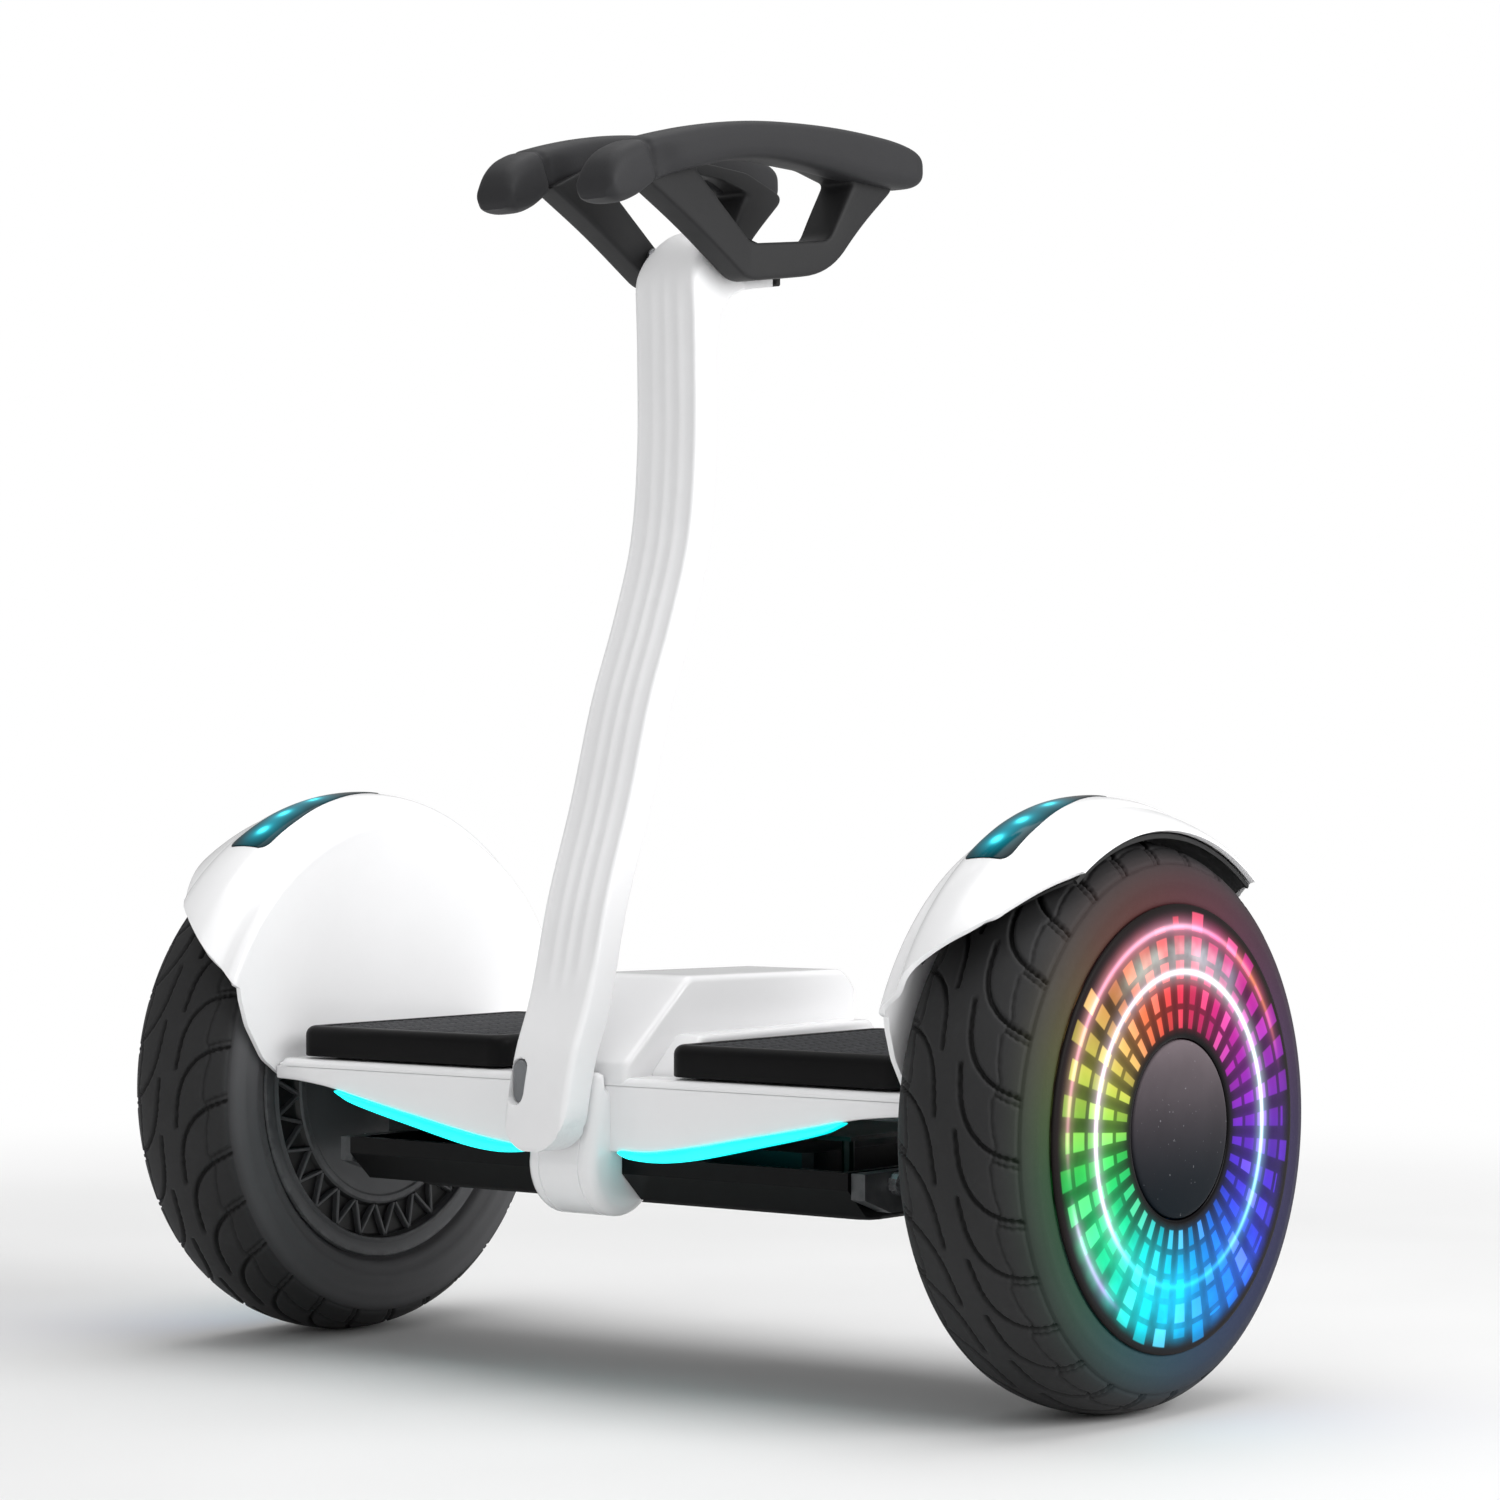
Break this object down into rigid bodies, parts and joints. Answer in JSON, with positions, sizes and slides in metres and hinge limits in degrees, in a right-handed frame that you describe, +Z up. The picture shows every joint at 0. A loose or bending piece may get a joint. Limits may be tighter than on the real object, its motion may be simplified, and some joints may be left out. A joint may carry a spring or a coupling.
{
  "type": "self-balancing scooter",
  "caption": "Two-wheel self-balancing scooter with lit hub-motor wheels, fenders, rubber foot pads and a knee-height leaning steering column with paired handle frames.",
  "frame": {"origin": "on the ground under the middle of the wheel axle", "axes": "+X along the axle to the right wheel, +Y to the rear (the steering column stands at the front, -Y), +Z up"},
  "size_m": [0.5432, 0.256, 0.5965],
  "materials": {
    "white_plastic": "gloss moulded, painted",
    "white_column": "satin powder coat",
    "tyre": "matte rubber with moulded tread",
    "grip_rubber": "matte soft-touch",
    "pad_rubber": "satin rubber with textured top",
    "black_trim": "fine texture",
    "cap_rubber": "matte",
    "black_metal": "satin black",
    "clamp_alloy": "satin, with a bare alloy end",
    "hub_dark": "satin dark grey",
    "light_disc": "clear polycarbonate over a multicolour light pattern",
    "hub_cap": "satin",
    "lamp_lens": "gloss dark lens over cyan LEDs",
    "led_cyan": "lit diffuser",
    "button_grey": "satin",
    "switch_black": "matte",
    "bushing": "matte",
    "steel": "bright zinc",
    "magnet": "nickel",
    "winding": "enamelled copper on laminated iron",
    "battery": "shrink wrap",
    "board": "solder mask"
  },
  "bodies": {
    "base": {"axle_clamp_left": "clamp_alloy", "axle_clamp_right": "clamp_alloy", "axle_left": "steel", "axle_right": "steel", "battery_cover": "black_trim", "battery_pack": "battery", "bearing_inner_left": "steel", "bearing_inner_right": "steel", "bearing_outer_left": "steel", "bearing_outer_right": "steel", "bushing_front": "bushing", "bushing_rear": "bushing", "charge_socket": "black_trim", "chassis_frame": "black_metal", "clamp_bolt_front_left": "steel", "clamp_bolt_front_right": "steel", "clamp_bolt_rear_left": "steel", "clamp_bolt_rear_right": "steel", "control_board": "board", "deck_shell": "white_plastic", "fender_left": "white_plastic", "fender_liner_left": "black_trim", "fender_liner_right": "black_trim", "fender_right": "white_plastic", "foot_switch_left": "switch_black", "foot_switch_right": "switch_black", "front_keel": "white_plastic", "gyro_board": "board", "lamp_lens_left": "lamp_lens", "lamp_lens_right": "lamp_lens", "led_strip_left": "led_cyan", "led_strip_right": "led_cyan", "stator_left": "winding", "stator_right": "winding"},
    "wheel_left": {"tyre_left": "tyre", "hub_rim_left": "hub_dark", "hub_cover_left": "hub_dark", "light_disc_left": "light_disc", "hub_cap_left": "hub_cap", "magnet_ring_left": "magnet"},
    "wheel_right": {"tyre_right": "tyre", "hub_rim_right": "hub_dark", "hub_cover_right": "hub_dark", "light_disc_right": "light_disc", "hub_cap_right": "hub_cap", "magnet_ring_right": "magnet"},
    "steering": {"steering_shaft": "steel", "steering_lever": "steel", "column_tube": "white_column", "handle_bracket": "black_metal", "handle_frame_left": "grip_rubber", "handle_frame_right": "grip_rubber", "handle_bolt_front": "steel", "handle_bolt_rear": "steel", "bracket_end_cap": "black_trim"},
    "latch": {"latch_button": "button_grey"},
    "pad_left": {"foot_pad_left": "pad_rubber"},
    "pad_right": {"foot_pad_right": "pad_rubber"},
    "power": {"power_button": "button_grey"},
    "port_cap": {"charge_cap": "cap_rubber"}
  },
  "joints": [
    {"name": "wheel_left_spin", "type": "hinge", "parent": "base", "child": "wheel_left", "pos_m": [-0.232, 0, 0.128], "axis": [1, 0, 0], "continuous": true},
    {"name": "wheel_right_spin", "type": "hinge", "parent": "base", "child": "wheel_right", "pos_m": [0.232, 0, 0.128], "axis": [1, 0, 0], "continuous": true},
    {"name": "steering_lean", "type": "hinge", "parent": "base", "child": "steering", "pos_m": [0, -0.09, 0.124], "axis": [0, 1, 0], "range_deg": [-15, 15], "stiffness_Nm_per_rad": 40},
    {"name": "latch_press", "type": "slide", "parent": "steering", "child": "latch", "axis": [0, 1, 0], "range_m": [0, 0.0025], "stiffness_N_per_m": 600},
    {"name": "pad_left_press", "type": "slide", "parent": "base", "child": "pad_left", "axis": [0, 0, -1], "range_m": [0, 0.001], "stiffness_N_per_m": 40000, "springref_m": -0.0003},
    {"name": "pad_right_press", "type": "slide", "parent": "base", "child": "pad_right", "axis": [0, 0, -1], "range_m": [0, 0.001], "stiffness_N_per_m": 40000, "springref_m": -0.0003},
    {"name": "power_press", "type": "slide", "parent": "base", "child": "power", "axis": [0, -1, 0], "range_m": [0, 0.0015], "stiffness_N_per_m": 600},
    {"name": "port_cap_swing", "type": "hinge", "parent": "base", "child": "port_cap", "pos_m": [-0.011, 0.09, 0.1515], "axis": [-1, 0, 0], "range_deg": [0, 100]}
  ]
}
